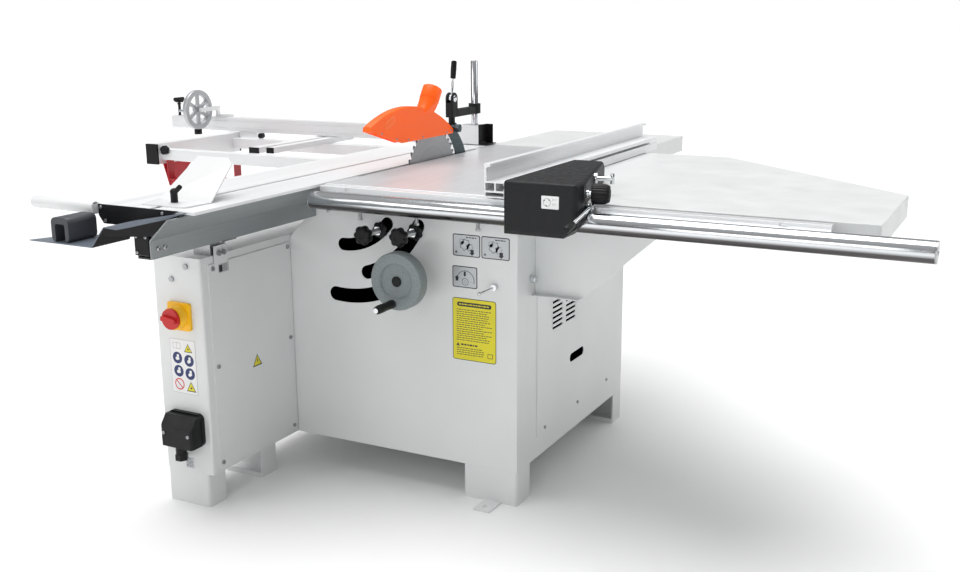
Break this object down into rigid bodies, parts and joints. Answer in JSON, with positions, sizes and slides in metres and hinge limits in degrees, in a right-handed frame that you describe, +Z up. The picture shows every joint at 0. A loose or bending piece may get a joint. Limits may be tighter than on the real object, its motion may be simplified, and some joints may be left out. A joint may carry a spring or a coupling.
{
  "type": "sliding table panel saw",
  "caption": "Sliding table panel saw: tilting rising blade with riving knife and guard, outrigger, crosscut fence, rip fence on a round rail, cabinet.",
  "frame": {"origin": "bottom centre of the bounding box, on the floor", "axes": "+X to the operator's right along the rip-fence rail, +Y feed direction away from the operator, +Z up"},
  "size_m": [3.011, 2.206, 1.1623],
  "materials": {
    "white_paint": "off-white powder coat with fine orange peel",
    "cast_table": "ground cast iron with fine machining lines",
    "alu": "satin anodised extrusion",
    "steel": "brushed steel",
    "chrome": "polished chrome",
    "black_plastic": "fine-grained black plastic",
    "black_cast": "textured black paint on a casting",
    "grey_paint": "blue-grey powder coat",
    "wheel_grey": "grey textured paint",
    "red_paint": "gloss red paint",
    "guard_orange": "moulded orange plastic",
    "yellow_plastic": "yellow plastic",
    "red_plastic": "red plastic",
    "label": "printed plates without lettering",
    "motor_paint": "motor enamel",
    "belt": "ribbed belt rubber"
  },
  "bodies": {
    "base": {"cabinet_shell": "white_paint", "side_cover": "white_paint", "support_box": "white_paint", "electrical_cover": "white_paint", "base_fasteners": "steel", "machine_feet": "white_paint", "dust_port": "black_plastic", "cast_iron_table": "cast_table", "rear_extension": "white_paint", "right_extension": "white_paint", "extension_brackets": "white_paint", "fence_scale_profile": "alu", "fence_rail": "chrome", "fixed_beam": "alu", "beam_cover": "alu", "beam_supports": "steel", "beam_end_caps": "black_plastic", "isolator_base": "yellow_plastic", "socket_housing": "black_plastic", "label_plates": "label", "trunnion_guides": "cast_table"},
    "latch_body": {"side_latch": "chrome"},
    "lever_body": {"panel_lever": "chrome"},
    "isolator_body": {"isolator_knob": "red_plastic"},
    "tilt_unit": {"tilt_frame": "black_cast"},
    "knob_left_body": {"lock_knob_left": "black_plastic"},
    "knob_right_body": {"lock_knob_right": "black_plastic"},
    "wheel_body": {"handwheel": "wheel_grey"},
    "grip_body": {"crank_grip": "black_plastic"},
    "rise_unit": {"rise_carriage": "cast_table", "main_motor": "motor_paint", "drive_belt": "belt", "riving_knife": "steel", "blade_guard": "guard_orange"},
    "blade_body": {"saw_blade": "steel", "saw_arbor": "steel"},
    "pulley_body": {"motor_pulley": "steel"},
    "slider_body": {"sliding_table": "alu", "slider_end_caps": "black_plastic", "push_handle": "white_paint", "operator_plate": "grey_paint", "operator_handle": "black_plastic", "ripping_shoe": "white_paint", "outrigger_frame": "alu", "outrigger_bracket": "red_paint"},
    "shoe_lever_body": {"shoe_lever": "black_plastic"},
    "crosscut_body": {"crosscut_fence": "alu", "fence_fittings": "alu", "fence_knobs": "black_plastic"},
    "extension_body": {"fence_extension": "alu"},
    "disc_body": {"stop_disc": "alu"},
    "hold_down_body": {"hold_down_arm": "black_cast"},
    "hold_down_lever_body": {"hold_down_lever": "chrome"},
    "carriage_body": {"roller_carriage": "steel"},
    "swing_arm_body": {"swing_arm": "red_paint"},
    "rip_carriage_body": {"fence_casting": "black_cast"},
    "rip_fence_body": {"rip_fence": "alu"},
    "clamp_lever_body": {"clamp_lever": "chrome"},
    "fine_adjust_body": {"fine_adjust_knob": "black_plastic"},
    "tee_knob_body": {"tee_knob": "chrome"}
  },
  "joints": [
    {"name": "slider_travel", "type": "slide", "parent": "base", "child": "slider_body", "axis": [0, 1, 0], "range_m": [-0.65, 0.65]},
    {"name": "carriage_travel", "type": "slide", "parent": "base", "child": "carriage_body", "axis": [0, 1, 0], "range_m": [-0.325, 0.325]},
    {"name": "swing_arm_turn", "type": "hinge", "parent": "base", "child": "swing_arm_body", "pos_m": [-0.3725, 0.153, 0.715], "axis": [0, 0, 1], "range_deg": [-54.1, 54.1]},
    {"name": "shoe_lever_turn", "type": "hinge", "parent": "slider_body", "child": "shoe_lever_body", "pos_m": [-0.2075, -0.899, 0.885], "axis": [0, 0, 1], "range_deg": [-90, 90]},
    {"name": "mitre_swing", "type": "hinge", "parent": "slider_body", "child": "crosscut_body", "pos_m": [-0.1625, 0.543, 0.872], "axis": [0, 0, 1], "range_deg": [0, 45]},
    {"name": "extension_travel", "type": "slide", "parent": "crosscut_body", "child": "extension_body", "axis": [-1, 0, 0], "range_m": [0, 0.05]},
    {"name": "stop_wheel_turn", "type": "hinge", "parent": "crosscut_body", "child": "disc_body", "pos_m": [-1.2905, 0.435, 0.959], "axis": [1, 0, 0], "continuous": true},
    {"name": "hold_down_travel", "type": "slide", "parent": "crosscut_body", "child": "hold_down_body", "axis": [0, 0, 1], "range_m": [-0.035, 0.09]},
    {"name": "hold_down_lever_turn", "type": "hinge", "parent": "hold_down_body", "child": "hold_down_lever_body", "pos_m": [-0.1355, 0.378, 1.04], "axis": [1, 0, 0], "range_deg": [0, 70]},
    {"name": "tilt", "type": "hinge", "parent": "base", "child": "tilt_unit", "pos_m": [-0.0625, 0.043, 0.87], "axis": [0, 1, 0], "range_deg": [0, 45]},
    {"name": "lock_knob_left_turn", "type": "hinge", "parent": "tilt_unit", "child": "knob_left_body", "pos_m": [0.05958, -0.467, 0.73909], "axis": [0, 1, 0], "range_deg": [-180, 180]},
    {"name": "lock_knob_right_turn", "type": "hinge", "parent": "tilt_unit", "child": "knob_right_body", "pos_m": [0.17127, -0.467, 0.74308], "axis": [0, 1, 0], "range_deg": [-180, 180]},
    {"name": "blade_rise", "type": "slide", "parent": "tilt_unit", "child": "rise_unit", "axis": [0, 0, 1], "range_m": [-0.04, 0]},
    {"name": "handwheel_turn", "type": "hinge", "parent": "tilt_unit", "child": "wheel_body", "pos_m": [0.17946, -0.487, 0.62972], "axis": [0, 1, 0], "range_deg": [-1450, 0]},
    {"name": "crank_spin", "type": "hinge", "parent": "wheel_body", "child": "grip_body", "pos_m": [0.17146, -0.537, 0.57072], "axis": [0, 1, 0], "continuous": true},
    {"name": "blade_spin", "type": "hinge", "parent": "rise_unit", "child": "blade_body", "pos_m": [-0.0625, 0.113, 0.8125], "axis": [1, 0, 0], "continuous": true},
    {"name": "motor_spin", "type": "hinge", "parent": "rise_unit", "child": "pulley_body", "pos_m": [0.0705, 0.113, 0.6225], "axis": [1, 0, 0], "continuous": true},
    {"name": "rip_carriage_travel", "type": "slide", "parent": "base", "child": "rip_carriage_body", "axis": [1, 0, 0], "range_m": [-0.45, 0.75]},
    {"name": "rip_fence_travel", "type": "slide", "parent": "rip_carriage_body", "child": "rip_fence_body", "axis": [0, 1, 0], "range_m": [-0.4, 0.1]},
    {"name": "clamp_lever_turn", "type": "hinge", "parent": "rip_carriage_body", "child": "clamp_lever_body", "pos_m": [0.7145, -0.499, 0.868], "axis": [1, 0, 0], "range_deg": [-50, 0]},
    {"name": "fine_adjust_turn", "type": "hinge", "parent": "rip_carriage_body", "child": "fine_adjust_body", "pos_m": [0.70512, -0.482, 0.898], "axis": [0.9659, 0.2588, 0], "continuous": true},
    {"name": "tee_knob_turn", "type": "hinge", "parent": "rip_carriage_body", "child": "tee_knob_body", "pos_m": [0.66305, -0.325, 0.911], "axis": [0.9659, 0.2588, 0], "range_deg": [-90, 90]},
    {"name": "isolator_turn", "type": "hinge", "parent": "base", "child": "isolator_body", "pos_m": [-0.3305, -0.772, 0.54], "axis": [0, 1, 0], "range_deg": [0, 90]},
    {"name": "side_latch_turn", "type": "hinge", "parent": "base", "child": "latch_body", "pos_m": [0.4775, -0.303, 0.626], "axis": [1, 0, 0], "range_deg": [0, 90]},
    {"name": "panel_lever_turn", "type": "hinge", "parent": "base", "child": "lever_body", "pos_m": [0.4135, -0.387, 0.615], "axis": [0, 1, 0], "range_deg": [-30, 30]}
  ],
  "couplings": [
    {"joint": "carriage_travel", "follows": "slider_travel", "ratio": 0.5},
    {"joint": "swing_arm_turn", "follows": "slider_travel", "rad_per_m": -1.45},
    {"joint": "handwheel_turn", "follows": "blade_rise", "rad_per_m": 628.3},
    {"joint": "motor_spin", "follows": "blade_spin", "ratio": 0.7895}
  ]
}
